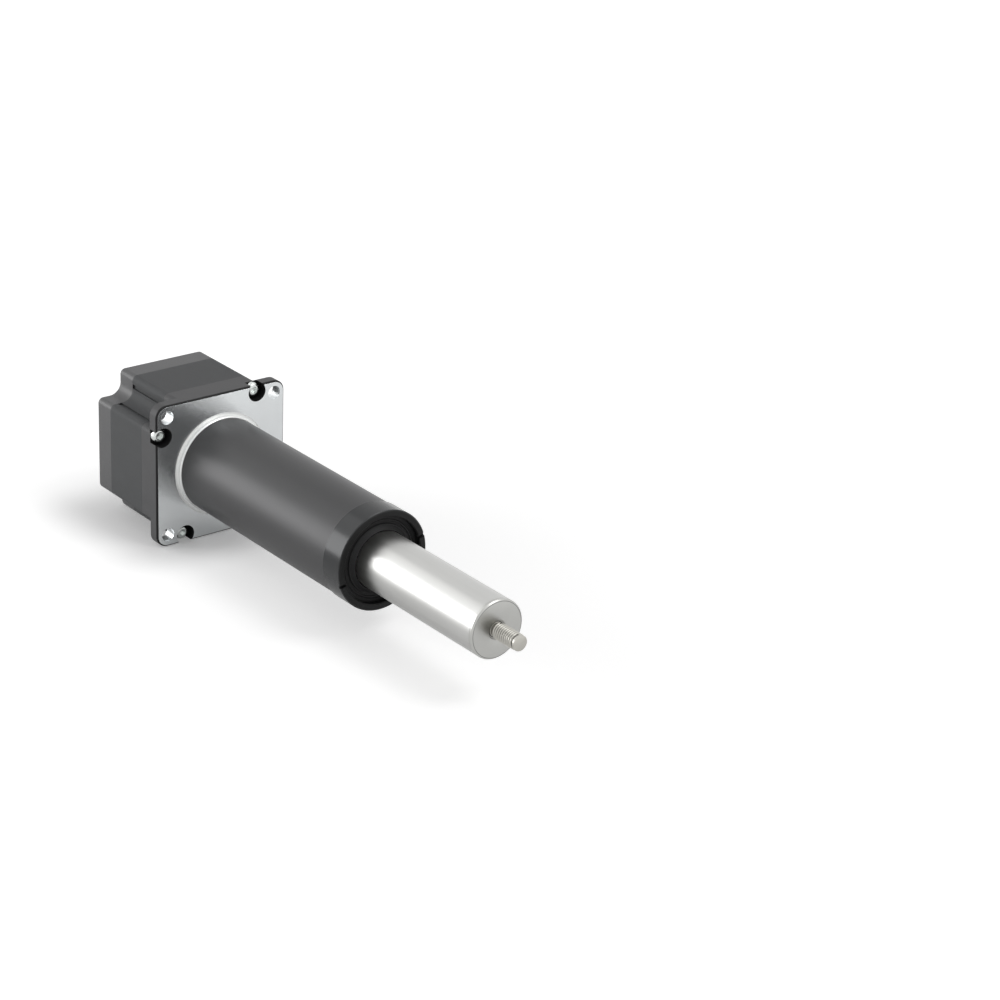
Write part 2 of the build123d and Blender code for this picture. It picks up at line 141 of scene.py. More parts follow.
class Paint:
    """A material with one main shader, built from object coordinates."""

    def __init__(self, name, metallic=0.0, specular=0.5):
        self.material = bpy.data.materials.new(name)
        self.material.use_nodes = True
        self.tree = self.material.node_tree
        self.shader = next(n for n in self.tree.nodes if n.type == "BSDF_PRINCIPLED")
        self.shader.inputs["Metallic"].default_value = metallic
        self.shader.inputs["Specular IOR Level"].default_value = specular
        self.at = self.node("ShaderNodeTexCoord", out="Object")
        spread = self.node("ShaderNodeSeparateXYZ", None, {0: self.at}).socket.node
        self.x, self.y, self.z = (Level(self, out) * (1 / MM) for out in spread.outputs)

    def node(self, kind, settings=None, inputs=None, out=0):
        """Adds a node, sets it up, gives its sockets their values or links, and returns one output."""
        made = self.tree.nodes.new(kind)
        for key, value in (settings or {}).items():
            setattr(made, key, value)
        for key, value in (inputs or {}).items():
            if isinstance(value, Level):
                self.tree.links.new(value.socket, made.inputs[key])
            else:
                made.inputs[key].default_value = value
        return Level(self, made.outputs[out])

    def radius(self):
        """Distance from the screw axis, in millimetres."""
        return (self.y * self.y + self.z * self.z) ** 0.5

    def reach(self, aside, out):
        """Distance across the axis from the nearest of four places mirrored in both middle planes."""
        across, upward = abs(self.y) - aside, abs(self.z) - out
        return (across * across + upward * upward) ** 0.5

    def noise(self, size, detail=3.0, stretch=(1, 1, 1)):
        """Soft noise whose grain is about size millimetres, drawn out along an axis by stretch."""
        grain = tuple(1 / (size * MM * s) for s in stretch)
        place = self.node("ShaderNodeMapping", {"vector_type": "POINT"}, {"Vector": self.at, "Scale": grain})
        return self.node("ShaderNodeTexNoise", None, {"Vector": place, "Scale": 1.0, "Detail": detail})

    def blend(self, low, high, share):
        """Colour between two colours, each a tuple or a level."""
        ends = {0: share}
        for key, value in ((6, low), (7, high)):
            ends[key] = value if isinstance(value, Level) else (*value[:3], 1.0)
        return self.node("ShaderNodeMix", {"data_type": "RGBA"}, ends, 2)

    def feed(self, **levels):
        """Links levels to the shader's sockets."""
        for key, value in levels.items():
            self.tree.links.new(value.socket, self.shader.inputs[key.replace("_", " ").title()])

    def relief(self, height, depth, normal=None):
        """Surface relief of that depth in millimetres, over the true normal or a tilted one."""
        ends = {"Height": height, "Distance": depth * MM}
        if normal:
            ends["Normal"] = normal
        self.feed(normal=self.node("ShaderNodeBump", None, ends))

    def turning(self, tilt):
        """Normal tilted along the radius, as the grooves of a facing tool tilt it."""
        radius = self.radius()
        lean = self.node("ShaderNodeCombineXYZ", None, {1: self.y / radius * tilt, 2: self.z / radius * tilt})
        true = self.node("ShaderNodeNewGeometry", out="Normal")
        sum_of_both = self.node("ShaderNodeVectorMath", {"operation": "ADD"}, {0: true, 1: lean})
        return self.node("ShaderNodeVectorMath", {"operation": "NORMALIZE"}, {0: sum_of_both})


def enamel(name, colour, roughness, seam):
    """Black enamel on a casting: fine orange peel, faint uneven tone and a dark line at its seam."""
    paint = Paint(name, specular=0.4)
    peel = paint.noise(0.5, 2.0)
    cloud = paint.noise(9.0, 4.0)
    tone = paint.blend([c * 0.90 for c in colour], [c * 1.10 for c in colour], cloud)
    line = 1 - abs(paint.x - seam).rise(0.05, 0.22)
    tone = paint.blend(tone, [c * 0.25 for c in colour], line * 0.85)
    paint.feed(base_color=tone, roughness=peel * 0.08 + cloud * 0.10 + (roughness - 0.09))
    paint.relief(peel, 0.03)
    return paint


def front_bell_finish(finish):
    """Enamelled casting whose face, pilot and hole walls are machined bright after painting."""
    pilot_inner, pilot_outer, face_inner, rim_inner = 17.1, 20.3, 19.2, 27.0
    hole_radius, pocket_radius, pocket_floor = 2.68, 3.9, -4.5
    dark = [c * 1.1 for c in finish.enamel]
    paint = Paint("machined_and_enamelled", specular=0.12)
    radius = paint.radius()
    face = (paint.x > -0.02) * (radius > face_inner)
    pilot = (paint.x > -0.5) * (radius < pilot_outer) * (radius > pilot_inner)
    hole = (paint.reach(MOUNT_HOLE, MOUNT_HOLE) < hole_radius) * (paint.x < 0.1)
    bright = face.highest(pilot).highest(hole)
    rings = (radius * 13.0 + paint.noise(4.0, 2.0) * 6.0).wave() * 0.5 + 0.5
    scuff = paint.noise(3.5, 3.0)
    cloud = paint.noise(9.0, 4.0)
    metal = paint.blend(
        [c * 0.93 for c in finish.machined],
        [min(1, c * 1.05) for c in finish.machined],
        rings * 0.5 + scuff * 0.5,
    )
    coat = paint.blend([c * 0.90 for c in dark], [c * 1.10 for c in dark], cloud)
    seam = 1 - abs(paint.x - FRONT_SEAM).rise(0.05, 0.22)
    coat = paint.blend(coat, [c * 0.25 for c in dark], seam * 0.85)
    rim = (paint.x > -0.9) * (radius > rim_inner)
    coat = paint.blend(coat, [c * 0.22 for c in dark], rim)
    upright = paint.y * paint.z > 0
    to_screw = paint.reach(SCREW_ASIDE, SCREW_OUT) * upright
    to_screw = to_screw + paint.reach(SCREW_OUT, SCREW_ASIDE) * (1 - upright)
    # Painted shade: the enamel inside the screw pockets is darkened nearly to black.
    pocket_shade = (to_screw < pocket_radius) * (paint.x > pocket_floor)
    coat = paint.blend(coat, [c * 0.15 for c in dark], pocket_shade)
    metal = paint.blend(metal, srgb(250, 251, 250), pilot)
    smoother = rings * 0.03 + scuff * 0.04 + pilot * 0.19 + hole * 0.2 - 0.30
    paint.feed(
        base_color=paint.blend(coat, metal, bright),
        metallic=bright * (1 - pilot * 0.35),
        roughness=bright * smoother + cloud * 0.06 + 0.42,
    )
    peel = paint.noise(0.5, 2.0)
    grooves = (radius * (math.tau / 0.37) + scuff * 3.0).wave() * face * (1 - pilot) * 0.15
    paint.relief(peel * (1 - bright), 0.02, paint.turning(grooves))
    return paint


def stack_finish(finish):
    """Enamelled laminations: fine lines across the axis under the coat."""
    paint = Paint("laminated_stack", specular=0.08)
    sheets = (paint.x * (math.tau / 0.5)).wave() * 0.5 + 0.5
    cloud = paint.noise(7.0, 4.0, (3, 1, 1))
    peel = paint.noise(0.45, 2.0)
    tone = paint.blend(
        [c * 0.84 for c in finish.stack], [c * 1.10 for c in finish.stack], cloud * 0.7 + sheets * 0.3
    )
    paint.feed(base_color=tone, roughness=cloud * 0.10 + sheets * 0.05 + 0.45)
    paint.relief(sheets * 0.6 + peel * 0.4, 0.03)
    return paint


def anodised_finish(name, colour, roughness):
    """Satin anodised aluminium with faint drawing marks along the axis."""
    paint = Paint(name, metallic=0.3, specular=0.35)
    drawn = paint.noise(0.35, 3.0, (60, 1, 1))
    grain = paint.noise(0.25, 2.0)
    cloud = paint.noise(12.0, 3.0)
    tone = paint.blend(
        [c * 0.92 for c in colour], [c * 1.08 for c in colour], drawn * 0.35 + cloud * 0.4 + grain * 0.25
    )
    paint.feed(base_color=tone, roughness=drawn * 0.06 + grain * 0.05 + (roughness - 0.055))
    paint.relief(grain * 0.6 + drawn * 0.4, 0.006)
    return paint


def collar_finish(colour):
    """Glossy black anodising on the collar's outside, matt on its front and in its mouth, with painted shade
    there and a painted highlight along its front bevel.
    """
    metallic = 0.25
    paint = Paint("collar_anodising", metallic, specular=0.25)
    radius = paint.radius()
    cloud = paint.noise(8.0, 3.0)
    fine = paint.noise(0.3, 2.0)
    mouth = (paint.x > 102.3).highest(radius < 18.3)
    tone = paint.blend([c * 0.93 for c in colour], [c * 1.07 for c in colour], cloud * 0.7 + fine * 0.3)
    # Painted shade: the front face and the mouth are darkened nearly to black.
    tone = paint.blend(tone, [c * 0.12 for c in colour], mouth)
    # Painted highlight: a patchy lighter band along the bevel round the collar's front.
    painted_edge_highlight = 1 - abs(paint.x - 102.35).rise(0.05, 0.3)
    tone = paint.blend(tone, [min(1, c * 1.6) for c in colour], painted_edge_highlight * (radius > 18.6) * cloud)
    paint.feed(
        base_color=tone,
        metallic=metallic * (1 - mouth),
        roughness=mouth * 0.28 + fine * 0.04 + cloud * 0.04 + 0.16,
    )
    paint.relief(fine, 0.002)
    return paint


def turned_finish(name, colour, roughness, pitch=0.12, streaks=0.0):
    """Bright turned metal: fine rings about the axis, faint smears and streaks along it."""
    paint = Paint(name, metallic=1.0)
    rings = (paint.x * (math.tau / pitch) + paint.noise(6.0, 2.0) * 3.0).wave() * 0.5 + 0.5
    smear = paint.noise(5.0, 4.0, (4, 1, 1))
    drawn = paint.noise(2.0, 2.0, (60, 1, 1))
    tone = paint.blend(
        [c * 0.90 for c in colour],
        [min(1, c * 1.08) for c in colour],
        smear * 0.3 + rings * 0.1 + drawn * 0.6,
    )
    paint.feed(
        base_color=tone, roughness=rings * 0.02 + smear * 0.07 + drawn * streaks + (roughness - 0.045)
    )
    return paint


def faced_finish(name, colour, roughness, joint=None):
    """Bright metal turned across its end: rings about the axis, and painted shade in a groove at a given
    radius.
    """
    pitch, groove_pitch = 0.18, 0.31
    paint = Paint(name, metallic=1.0)
    radius = paint.radius()
    rings = (radius * (math.tau / pitch) + paint.noise(2.0, 2.0) * 4.0).wave() * 0.5 + 0.5
    smear = paint.noise(3.0, 4.0)
    tone = paint.blend(
        [c * 0.93 for c in colour], [min(1, c * 1.04) for c in colour], smear * 0.7 + rings * 0.3
    )
    if joint:
        # Painted shade: a dark line in the groove at that radius.
        tone = paint.blend(tone, [c * 0.35 for c in colour], 1 - abs(radius - joint).rise(0.05, 0.15))
    paint.feed(base_color=tone, roughness=rings * 0.05 + smear * 0.10 + (roughness - 0.075))
    grooves = (radius * (math.tau / groove_pitch) + smear * 3.0).wave() * (paint.x > 0) * 0.16
    paint.relief(rings, 0.002, paint.turning(grooves))
    return paint


def plated_finish(name, colour, roughness):
    """Plated steel with tiny pits that hold grime."""
    grime = (0.05, 0.05, 0.05)
    paint = Paint(name, metallic=1.0)
    pits = paint.noise(0.35, 4.0)
    cloud = paint.noise(1.6, 3.0)
    tone = paint.blend([c * 0.88 for c in colour], colour, cloud)
    tone = paint.blend(tone, grime, pits.rise(0.66, 0.74) * 0.5)
    paint.feed(base_color=tone, roughness=pits * 0.10 + cloud * 0.08 + (roughness - 0.09))
    paint.relief(pits, 0.006)
    return paint


def thread_finish(name, colour, first, last):
    """Plated thread with painted shade in the roots of its turns."""
    paint = Paint(name, metallic=1.0)
    cloud = paint.noise(1.6, 3.0)
    tone = paint.blend([c * 0.88 for c in colour], colour, cloud)
    crest = paint.radius().rise(2.5, 2.9).highest(paint.x > last - 0.2)
    # Painted shade: the roots of the turns are darkened; the plain tip is left bright.
    shade = (0.45 - crest * 0.45) * (paint.x > first)
    tone = paint.blend(tone, [c * 0.08 for c in colour], shade * 1.6)
    paint.feed(base_color=tone, roughness=cloud * 0.08 + 0.33)
    return paint


def moulded_finish(name, colour, roughness, grain=0.3):
    """Moulded plastic or rubber: fine spark-eroded grain and faint flow marks."""
    paint = Paint(name, specular=0.35)
    fine = paint.noise(grain, 3.0)
    flow = paint.noise(6.0, 4.0, (3, 1, 1))
    tone = paint.blend(
        [c * 0.90 for c in colour], [min(1, c * 1.06) for c in colour], flow * 0.6 + fine * 0.4
    )
    paint.feed(base_color=tone, roughness=fine * 0.12 + flow * 0.05 + (roughness - 0.085))
    paint.relief(fine, 0.015)
    return paint


def wound_finish(name, colour):
    """Enamelled copper wire wound side by side."""
    paint = Paint(name, metallic=1.0)
    turns = (paint.radius() * (math.tau / 0.55)).wave() * 0.5 + 0.5
    dark = [c * 0.35 for c in colour]
    # Painted shade: the copper darkens to a third in the grooves between the turns.
    paint.feed(base_color=paint.blend(dark, colour, turns.rise(0.1, 0.6)), roughness=turns * 0.15 + 0.25)
    paint.relief(turns, 0.15)
    return paint


def dress(name, paint):
    """Gives a CAD node its finish."""
    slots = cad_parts[name].data.materials
    slots.clear()
    slots.append(paint.material)


# Pieces


def finished(name, shape, paint, body, replaced):
    """Turns a bmesh built in millimetres into a piece that rides on a body."""
    bmesh.ops.remove_doubles(shape, verts=shape.verts[:], dist=1e-4)
    bmesh.ops.recalc_face_normals(shape, faces=shape.faces[:])
    bmesh.ops.scale(shape, vec=(MM, MM, MM), verts=shape.verts[:])
    mesh = bpy.data.meshes.new(name)
    shape.to_mesh(mesh)
    shape.free()
    mesh.materials.append(paint.material)
    mesh.shade_smooth()
    piece = bpy.data.objects.new(name, mesh)
    bpy.context.scene.collection.objects.link(piece)
    if not len(mesh.polygons):
        raise RuntimeError(f"{name} has no faces")
    mesh.set_sharp_from_angle(angle=math.radians(32))
    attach(piece, body)
    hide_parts(*replaced)


def turned(shape, outline, steps=96, closed=True, start=0.0, sweep=math.tau):
    """Adds a ring or disc turned about the screw axis from an outline of (x, radius) pairs."""
    points = [shape.verts.new((x, r * math.cos(start), r * math.sin(start))) for x, r in outline]
    pairs = list(zip(points, points[1:]))
    if closed:
        pairs.append((points[-1], points[0]))
    edges = [shape.edges.new(pair) for pair in pairs]
    bmesh.ops.spin(
        shape,
        geom=points + edges,
        cent=(0, 0, 0),
        axis=(1, 0, 0),
        angle=sweep,
        steps=steps,
        use_merge=sweep == math.tau,
        use_duplicate=False,
    )
    bmesh.ops.remove_doubles(shape, verts=shape.verts[:], dist=1e-4)


def soften(shape, offset, angle):
    """Rounds every edge that is sharper than an angle."""
    sharp = [e for e in shape.edges if len(e.link_faces) == 2 and e.calc_face_angle(0) > math.radians(angle)]
    bmesh.ops.bevel(
        shape,
        geom=sharp,
        offset=offset,
        offset_type="OFFSET",
        segments=2,
        profile=0.5,
        affect="EDGES",
        material=-1,
        clamp_overlap=True,
    )


def box(shape, low, high):
    """Adds a plain block between two corners."""
    made = bmesh.ops.create_cube(shape, size=1.0)["verts"]
    low, high = Vector(low), Vector(high)
    bmesh.ops.scale(shape, vec=high - low, verts=made)
    bmesh.ops.translate(shape, vec=(low + high) / 2, verts=made)


def socket_screw(sizes):
    """One tie screw on the axis: shank, crowned head and hexagon socket."""
    shape = bmesh.new()
    seat, front, shank = SCREW_SEAT, -2.1, 1.5
    radius, socket = sizes.head_radius / MM, sizes.socket_radius / MM
    profile = [
        (seat - 35.0, 0.0),
        (seat - 35.0, shank - 0.3),
        (seat - 34.6, shank),
        (seat, shank),
        (seat, radius - 0.15),
        (seat + 0.15, radius),
        (seat + 1.15, radius),
        (seat + 1.6, radius - 0.12),
        (seat + 1.95, radius - 0.42),
        (front, radius - 0.85),
    ]
    turned(shape, profile, steps=48, closed=False)
    rim = [e for e in shape.edges if e.is_boundary and all(v.co.x > front - 0.01 for v in e.verts)]
    hexagon = bmesh.ops.create_circle(
        shape, cap_ends=False, radius=socket, segments=6, matrix=Matrix.Rotation(math.radians(90), 4, "Y")
    )["verts"]
    bmesh.ops.translate(shape, vec=(front, 0, 0), verts=hexagon)
    mouth = list({e for v in hexagon for e in v.link_edges})
    bmesh.ops.bridge_loops(shape, edges=rim + mouth)
    wall = bmesh.ops.extrude_edge_only(shape, edges=mouth)["geom"]
    floor = [g for g in wall if isinstance(g, bmesh.types.BMVert)]
    bmesh.ops.translate(shape, vec=(-sizes.socket_depth / MM, 0, 0), verts=floor)
    bottom = [e for e in shape.edges if e.is_boundary and all(v in floor for v in e.verts)]
    bmesh.ops.contextual_create(shape, geom=bottom)
    return shape


def front_collar(sizes):
    """Round collar with its spigot, stepped mouth and two spanner slots in the front edge."""
    low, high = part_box("front_collar")
    back, front, outer = low.x / MM, high.x / MM, high.z / MM
    seat, slot, edge = back + 10.0, front - 1.0, sizes.collar_edge / MM
    mouth, wiper_seat, bush_seat, spigot = 16.3, 14.92, 13.52, 16.4
    inside = [
        (slot, mouth),
        (front - 2.2, mouth),
        (front - 2.2, wiper_seat),
        (front - 4.2, wiper_seat),
        (front - 4.2, bush_seat),
        (back, bush_seat),
        (back, spigot),
        (seat, spigot),
        (seat, outer - 0.15),
        (seat + 0.15, outer),
        (slot, outer),
    ]
    rim = [(front - edge, outer), (front, outer - edge), (front, mouth + 0.3), (front - 0.3, mouth)]
    shape = bmesh.new()
    slot_angle, between = 18, 41
    step = math.tau / (2 * (between + 1))
    for half in range(2):
        start = math.radians(slot_angle + 180 * half) - step / 2
        turned(shape, inside, 1, start=start, sweep=step)
        turned(shape, inside + rim, between * 3, start=start + step, sweep=between * step)
    bmesh.ops.remove_doubles(shape, verts=shape.verts[:], dist=1e-3)
    bmesh.ops.holes_fill(shape, edges=[e for e in shape.edges if e.is_boundary], sides=0)
    return shape


class ActuatorSizes(bpy.types.PropertyGroup):
    """Sizes of the small pieces that the scene makes itself."""

    head_radius: bpy.props.FloatProperty(
        name="Screw head radius", description="Radius of a tie screw's head", default=2.72 * MM, unit="LENGTH"
    )
    socket_radius: bpy.props.FloatProperty(
        name="Socket radius",
        description="Corner radius of a tie screw's hexagon",
        default=1.4 * MM,
        unit="LENGTH",
    )
    socket_depth: bpy.props.FloatProperty(
        name="Socket depth", description="Depth of a tie screw's hexagon", default=1.2 * MM, unit="LENGTH"
    )
    stud_pitch: bpy.props.FloatProperty(
        name="Stud pitch",
        description="Distance between the stud's thread turns",
        default=1.0 * MM,
        unit="LENGTH",
    )
    collar_edge: bpy.props.FloatProperty(
        name="Collar bevel", description="Bevel round the collar's front", default=0.5 * MM, unit="LENGTH"
    )
    plug_bevel: bpy.props.FloatProperty(
        name="Plug bevel", description="Bevel round the end plug's face", default=0.55 * MM, unit="LENGTH"
    )


class ActuatorFinishes(bpy.types.PropertyGroup):
    """Colours of the finishes."""

    enamel: bpy.props.FloatVectorProperty(
        name="Enamel", description="Colour of the end bells", subtype="COLOR", default=srgb(88, 88, 89)
    )
    stack: bpy.props.FloatVectorProperty(
        name="Stack", description="Colour of the stator stack", subtype="COLOR", default=srgb(90, 91, 92)
    )
    machined: bpy.props.FloatVectorProperty(
        name="Machined face",
        description="Colour of the turned flange",
        subtype="COLOR",
        default=srgb(232, 235, 236),
    )
    anodised: bpy.props.FloatVectorProperty(
        name="Tube", description="Colour of the cover tube", subtype="COLOR", default=srgb(73, 73, 74)
    )
    collar: bpy.props.FloatVectorProperty(
        name="Collar", description="Colour of the front collar", subtype="COLOR", default=srgb(60, 61, 62)
    )
    rod: bpy.props.FloatVectorProperty(
        name="Rod", description="Colour of the extending rod", subtype="COLOR", default=srgb(195, 195, 193)
    )
    plug: bpy.props.FloatVectorProperty(
        name="End plug",
        description="Colour of the rod's end plug",
        subtype="COLOR",
        default=srgb(190, 190, 187),
    )
    stud: bpy.props.FloatVectorProperty(
        name="Stud", description="Colour of the threaded stud", subtype="COLOR", default=srgb(196, 194, 187)
    )
    plating: bpy.props.FloatVectorProperty(
        name="Screws", description="Colour of the tie screws", subtype="COLOR", default=srgb(222, 226, 224)
    )


class ACTUATOR_OT_housing(bpy.types.Operator):
    """Finish of both end bells and the stator stack"""

    bl_idname = "actuator.housing"
    bl_label = "Motor housing"

    def execute(self, context):
        finish = context.scene.actuator_finishes
        dress("front_end_bell", front_bell_finish(finish))
        dress("rear_end_bell", enamel("rear_bell_enamel", tuple(finish.enamel), 0.42, REAR_SEAM))
        dress("stator_stack", stack_finish(finish))
        return {"FINISHED"}


class ACTUATOR_OT_tie_screws(bpy.types.Operator):
    """Four socket screws that hold the motor together"""

    bl_idname = "actuator.tie_screws"
    bl_label = "Tie screws"

    def execute(self, context):
        sizes = context.scene.actuator_sizes
        whole = bmesh.new()
        for quarter in range(4):
            one = socket_screw(sizes)
            turn = Matrix.Rotation(math.radians(90 * quarter), 4, "X")
            spin = Matrix.Rotation(math.radians(17 + 41 * quarter), 4, "X")
            move = Matrix.Translation((0, SCREW_ASIDE, SCREW_OUT))
            bmesh.ops.transform(one, matrix=turn @ move @ spin, verts=one.verts[:])
            scratch = bpy.data.meshes.new("one_screw")
            one.to_mesh(scratch)
            one.free()
            whole.from_mesh(scratch)
            bpy.data.meshes.remove(scratch)
        paint = plated_finish("nickel_screws", tuple(context.scene.actuator_finishes.plating), 0.24)
        finished("socket_screws", whole, paint, "housing", ["tie_screws"])
        return {"FINISHED"}


class ACTUATOR_OT_cover(bpy.types.Operator):
    """Cover tube, front collar, wiper, bush and bumpers"""

    bl_idname = "actuator.cover"
    bl_label = "Tube and collar"

    def execute(self, context):
        finish = context.scene.actuator_finishes
        sizes = context.scene.actuator_sizes
        dress("cover_tube", anodised_finish("tube_anodising", tuple(finish.anodised), 0.42))
        collar = collar_finish(tuple(finish.collar))
        finished("round_collar", front_collar(sizes), collar, "housing", ["front_collar"])
        black = moulded_finish("black_acetal", srgb(34, 34, 34), 0.5)
        dress("guide_bush", black)
        rubber = moulded_finish("bumper_rubber", srgb(26, 26, 26), 0.75)
        dress("front_bumper", rubber)
        dress("rear_bumper", rubber)
        low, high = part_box("wiper_ring")
        back, front, rim, bore = low.x / MM, high.x / MM, high.z / MM, 10.97
        shape = bmesh.new()
        outline = [
            (back, bore),
            (back, rim),
            (back + 1.75, rim),
            (back + 2.0, rim - 0.25),
            (back + 2.0, 14.1),
            (back + 1.55, 13.9),
            (back + 1.55, 13.3),
            (back + 2.1, 13.1),
            (back + 2.1, 12.7),
            (front - 0.15, 11.55),
            (front, 11.4),
            (front, 11.2),
            (front - 0.5, bore),
        ]
        turned(shape, outline)
        soften(shape, 0.06, angle=25)
        paint = moulded_finish("wiper_rubber", srgb(12, 12, 13), 0.6, grain=0.2)
        finished("lipped_wiper", shape, paint, "housing", ["wiper_ring"])
        return {"FINISHED"}


class ACTUATOR_OT_rod(bpy.types.Operator):
    """Extending rod with its end plug and threaded stud"""

    bl_idname = "actuator.rod"
    bl_label = "Rod, plug and stud"

    def execute(self, context):
        finish = context.scene.actuator_finishes
        sizes = context.scene.actuator_sizes
        dress("extension_rod", turned_finish("polished_rod", tuple(finish.rod), 0.31, streaks=0.06))
        low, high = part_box("rod_end_plug")
        back, face, radius = low.x / MM, high.x / MM, high.z / MM
        bevel = sizes.plug_bevel / MM
        spigot, hollow, stud_hole = 9.28, 6.0, 3.02
        shape = bmesh.new()
        outline = [
            (back, hollow),
            (back, spigot),
            (face - 1.5, spigot),
            (face - 1.5, radius - 0.05),
            (face - 1.45, radius),
            (face - bevel, radius),
            (face, radius - bevel),
            (face - 0.08, radius - bevel - 0.1),
            (face, radius - bevel - 0.2),
            (face, 3.6),
            (face - 0.5, 3.2),
            (face - 0.5, stud_hole),
            (face - 5.5, stud_hole),
            (face - 5.5, 0.0),
            (back + 6.0, 0.0),
            (back + 6.0, hollow),
        ]
        turned(shape, outline)
        soften(shape, 0.05, angle=25)
        plug = faced_finish("faced_plug", tuple(finish.plug), 0.32, joint=radius - bevel - 0.1)
        finished("turned_plug", shape, plug, "rod", ["rod_end_plug"])
        low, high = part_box("rod_stud")
        foot, tip = low.x / MM, high.x / MM
        pitch, crest, root = sizes.stud_pitch / MM, 2.99, 2.45
        neck, core_radius, plain = 2.7, 2.5, 2.85
        steps = 48
        last = tip - 0.9
        turns = round((last - face - 0.5) / pitch)
        first = last - turns * pitch
        shape = bmesh.new()
        one = [(0, root), (0.40, crest), (0.55, crest), (1, root)]
        points = [shape.verts.new((first + x * pitch, 0, r)) for x, r in one]
        edges = [shape.edges.new(pair) for pair in zip(points, points[1:])]
        bmesh.ops.spin(
            shape,
            geom=points + edges,
            cent=(0, 0, 0),
            axis=(1, 0, 0),
            angle=math.tau * (turns - 1),
            steps=steps * (turns - 1),
            dvec=(pitch / steps, 0, 0),
            use_duplicate=False,
        )
        bmesh.ops.remove_doubles(shape, verts=shape.verts[:], dist=1e-3)
        bmesh.ops.holes_fill(shape, edges=shape.edges[:], sides=0)
        core = [
            (foot, 0),
            (foot, neck),
            (face - 0.5, neck),
            (face - 0.4, core_radius),
            (last - 0.3, core_radius),
            (last - 0.15, plain),
            (tip - 0.25, plain),
            (tip - 0.08, 2.78),
            (tip, 2.6),
            (tip, 0),
        ]
        turned(shape, core, steps=64, closed=False)
        stud = thread_finish("zinc_stud", tuple(finish.stud), first, last)
        finished("threaded_stud", shape, stud, "rod", ["rod_stud"])
        return {"FINISHED"}


class ACTUATOR_OT_connector(bpy.types.Operator):
    """Connector header on the motor's side, with its pins"""

    bl_idname = "actuator.connector"
    bl_label = "Connector header"

    def execute(self, context):
        low, high = (Vector(c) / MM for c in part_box("connector_header"))
        wall, bottom = 0.9, 1.4
        shape = bmesh.new()
        box(shape, low, high)
        mouth = [f for f in shape.faces if f.normal.y > 0.9]
        bmesh.ops.inset_region(shape, faces=mouth, thickness=wall, use_even_offset=True)
        sunk = bmesh.ops.extrude_face_region(shape, geom=mouth)["geom"]
        floor = [g for g in sunk if isinstance(g, bmesh.types.BMVert)]
        bmesh.ops.translate(shape, vec=(0, low.y + bottom - high.y, 0), verts=floor)
        bmesh.ops.delete(shape, geom=mouth, context="FACES_ONLY")
        bmesh.ops.recalc_face_normals(shape, faces=shape.faces[:])
        soften(shape, 0.15, angle=40)
        paint = moulded_finish("white_nylon", srgb(222, 220, 210), 0.45, grain=0.2)
        finished("header_shell", shape, paint, "housing", ["connector_header"])
        dress("connector_pins", plated_finish("tinned_pins", srgb(214, 212, 205), 0.25))
        return {"FINISHED"}


class ACTUATOR_OT_motor_works(bpy.types.Operator):
    """Rotor, windings, insulators, bearings and washer inside the motor"""

    bl_idname = "actuator.motor_works"
    bl_label = "Motor works"

    def execute(self, context):
        dress("phase_coils", wound_finish("enamelled_copper", srgb(190, 106, 52)))
        dress("pole_insulators", moulded_finish("insulator_nylon", srgb(214, 208, 190), 0.5))
        steel = turned_finish("rotor_steel", srgb(150, 151, 154), 0.38, pitch=0.5)
        dress("rotor_cup_front", steel)
        dress("rotor_cup_rear", steel)
        dress("rotor_magnet", plated_finish("sintered_magnet", srgb(118, 118, 120), 0.5))
        ground = faced_finish("ground_bearing", srgb(190, 192, 194), 0.25)
        for name in (
            "front_bearing_outer",
            "front_bearing_inner",
            "rear_bearing_outer",
            "rear_bearing_inner",
            "rotor_spacer",
        ):
            dress(name, ground)
        dress("spring_washer", plated_finish("spring_steel", srgb(140, 138, 134), 0.35))
        return {"FINISHED"}


class ACTUATOR_OT_drive(bpy.types.Operator):
    """Lead screw, its nut and the guide piston"""

    bl_idname = "actuator.drive"
    bl_label = "Screw drive"

    def execute(self, context):
        dress("lead_screw", turned_finish("rolled_screw", srgb(186, 187, 188), 0.22, pitch=0.3, streaks=0.03))
        dress("lead_nut", moulded_finish("acetal_nut", srgb(228, 226, 214), 0.4))
        dress("guide_piston", moulded_finish("piston_acetal", srgb(36, 36, 37), 0.45))
        return {"FINISHED"}


def softbox(name, place, aim, size, power):
    """Soft studio lamp that faces a point."""
    lamp = bpy.data.lights.new(name, "AREA")
    lamp.shape = "RECTANGLE"
    lamp.size, lamp.size_y = size
    lamp.energy = power
    stand = bpy.data.objects.new(name, lamp)
    stand.location = place
    stand.rotation_euler = (Vector(aim) - Vector(place)).to_track_quat("-Z", "Y").to_euler()
    bpy.context.scene.collection.objects.link(stand)


def seen_share(tree, rays=("Is Camera Ray", "Is Glossy Ray", "Is Transmission Ray")):
    """1 where one of those rays meets a surface, 0 for the light that the surface gives."""
    path = tree.nodes.new("ShaderNodeLightPath")
    total = None
    for key in rays:
        if total is None:
            total = path.outputs[key]
            continue
        either = tree.nodes.new("ShaderNodeMath")
        either.operation = "MAXIMUM"
        tree.links.new(total, either.inputs[0])
        tree.links.new(path.outputs[key], either.inputs[1])
        total = either.outputs[0]
    return total


